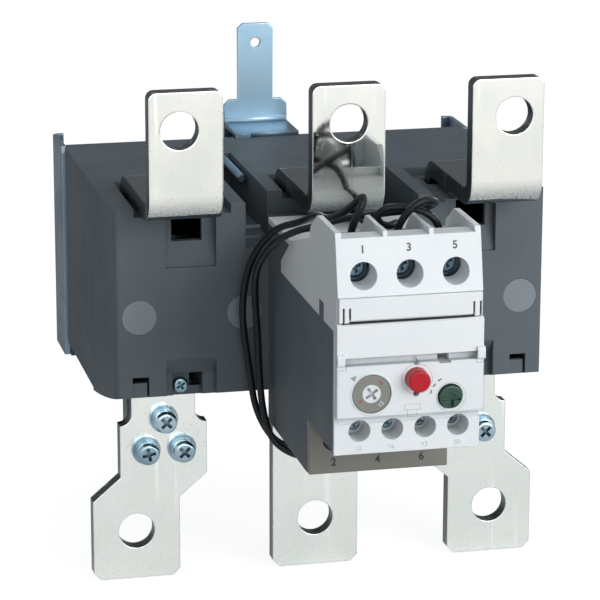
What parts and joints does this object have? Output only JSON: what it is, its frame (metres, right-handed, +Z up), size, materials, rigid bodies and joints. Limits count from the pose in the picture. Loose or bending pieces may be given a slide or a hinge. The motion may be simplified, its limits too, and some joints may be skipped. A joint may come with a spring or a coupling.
{
  "type": "thermal overload relay",
  "caption": "Thermal overload relay with current transformer block, busbar poles, clear flap, dial, stop and reset buttons",
  "frame": {"origin": "centre of the mounting plane, at the height of the block's front middle", "axes": "+X to the right seen from the front, +Y to the back into the panel, +Z up"},
  "size_m": [0.1552, 0.2235, 0.1779],
  "materials": {
    "zinc": "satin",
    "zinc_blue": "satin",
    "dark_moulding": "matte",
    "plug_moulding": "matte",
    "steel_screw": "satin",
    "white_moulding": "satin",
    "grey_moulding": "matte",
    "clear": "gloss",
    "dial_grey": "satin",
    "red": "gloss",
    "green": "gloss",
    "spring_steel": "satin",
    "flag_yellow": "matte",
    "bimetal": "satin",
    "heater": "matte",
    "brass": "satin",
    "rubber": "matte",
    "lead_sheath": "satin",
    "tinned_bar": "satin",
    "core_steel": "satin",
    "winding": "satin"
  },
  "bodies": {
    "case": {"auxiliary_clamps": "brass", "auxiliary_screws": "steel_screw", "bar_locking_screws": "steel_screw", "base_plate": "zinc", "base_plate_screws": "steel_screw", "bimetal_strips": "bimetal", "cover_screws": "steel_screw", "earth_studs": "steel_screw", "front_cover": "white_moulding", "heater_coils": "heater", "housing_body": "dark_moulding", "housing_cover": "dark_moulding", "lead_grommets": "rubber", "lead_left": "lead_sheath", "lead_middle": "lead_sheath", "lead_right": "lead_sheath", "line_clamps": "zinc", "line_terminal_screws": "steel_screw", "load_clamps": "zinc", "load_terminal_block": "grey_moulding", "load_terminal_screws": "steel_screw", "marking_strip": "white_moulding", "mechanism_frame": "dark_moulding", "mounting_tab": "zinc_blue", "phase_bar_left": "tinned_bar", "phase_bar_middle": "tinned_bar", "phase_bar_right": "tinned_bar", "relay_base": "dark_moulding", "relay_fixing_screws": "steel_screw", "reset_spring": "spring_steel", "screw_plugs": "plug_moulding", "stop_spring": "spring_steel", "terminal_cover": "white_moulding", "terminal_plate_left": "tinned_bar", "terminal_plate_middle": "tinned_bar", "terminal_plate_right": "tinned_bar", "terminal_plate_screws": "steel_screw", "terminal_washers": "steel_screw", "transformer_core_left": "core_steel", "transformer_core_middle": "core_steel", "transformer_core_right": "core_steel", "transformer_winding_left": "winding", "transformer_winding_middle": "winding", "transformer_winding_right": "winding"},
    "dial": {"dial_ring": "dial_grey", "dial_spindle": "white_moulding"},
    "stop": {"stop_button": "red"},
    "reset_sleeve": {"reset_sleeve": "green"},
    "reset": {"reset_button": "green"},
    "flap": {"clear_flap": "clear"},
    "slider": {"trip_slider": "white_moulding"},
    "lever": {"trip_lever": "white_moulding"},
    "flag": {"trip_flag": "flag_yellow"}
  },
  "joints": [
    {"name": "dial_turn", "type": "hinge", "parent": "case", "child": "dial", "pos_m": [-0.01125, -0.217, -0.00525], "axis": [0, 1, 0], "range_deg": [-130, 130]},
    {"name": "stop_button_press", "type": "slide", "parent": "case", "child": "stop", "axis": [0, 1, 0], "range_m": [0, 0.0025], "stiffness_N_per_m": 400, "springref_m": -0.002, "deforming": ["stop_spring"]},
    {"name": "reset_mode_turn", "type": "hinge", "parent": "case", "child": "reset_sleeve", "pos_m": [0.0133, -0.212, -0.0075], "axis": [0, 1, 0], "range_deg": [0, 90]},
    {"name": "reset_press", "type": "slide", "parent": "reset_sleeve", "child": "reset", "axis": [0, 1, 0], "range_m": [0, 0.002], "stiffness_N_per_m": 400, "springref_m": -0.002, "deforming": ["reset_spring"]},
    {"name": "flap_open", "type": "hinge", "parent": "case", "child": "flap", "pos_m": [0.0008, -0.2186, 0.00495], "axis": [-1, 0, 0], "range_deg": [0, 90]},
    {"name": "trip_slide", "type": "slide", "parent": "case", "child": "slider", "axis": [1, 0, 0], "range_m": [0, 0.002], "stiffness_N_per_m": 60},
    {"name": "trip_lever_turn", "type": "hinge", "parent": "case", "child": "lever", "pos_m": [0.0174, -0.2015, -0.002], "axis": [0, 1, 0], "range_deg": [0, 15.5]},
    {"name": "trip_flag_rise", "type": "slide", "parent": "case", "child": "flag", "axis": [0, 0, 1], "range_m": [0, 0.00185]}
  ],
  "couplings": [
    {"joint": "trip_lever_turn", "follows": "trip_slide", "rad_per_m": 135},
    {"joint": "trip_flag_rise", "follows": "trip_slide", "ratio": 0.9}
  ]
}
